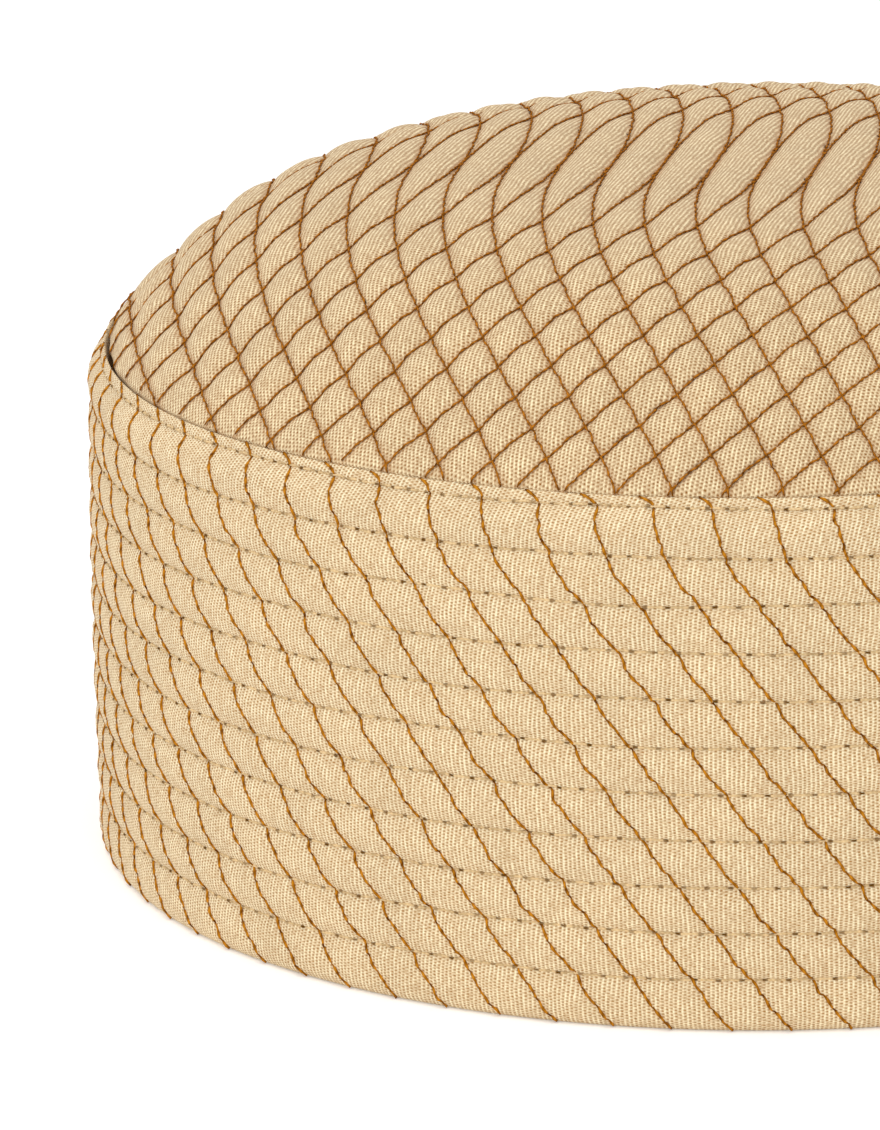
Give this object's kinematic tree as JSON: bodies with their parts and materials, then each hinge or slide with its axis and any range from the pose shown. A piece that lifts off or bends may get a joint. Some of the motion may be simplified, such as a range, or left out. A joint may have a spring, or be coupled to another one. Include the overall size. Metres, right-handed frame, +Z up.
{
  "type": "quilted round cap",
  "caption": "Round brimless cap of padded cotton: an upright corded band and a low, flat-topped crown quilted in strips and diamonds.",
  "frame": {"origin": "on the ground, at the middle of the cap's rim", "axes": "+Z up through the middle of the crown, -Y to the front, where the rows of diamonds reach the seam"},
  "size_m": [0.1838, 0.1838, 0.0932],
  "materials": {
    "band_cloth": "matte woven cotton, padded, with rows of beige stitches and slanting brown ones",
    "crown_cloth": "matte woven cotton, padded, quilted with brown thread"
  },
  "bodies": {
    "root": {"band": "band_cloth", "crown": "crown_cloth"}
  },
  "joints": []
}
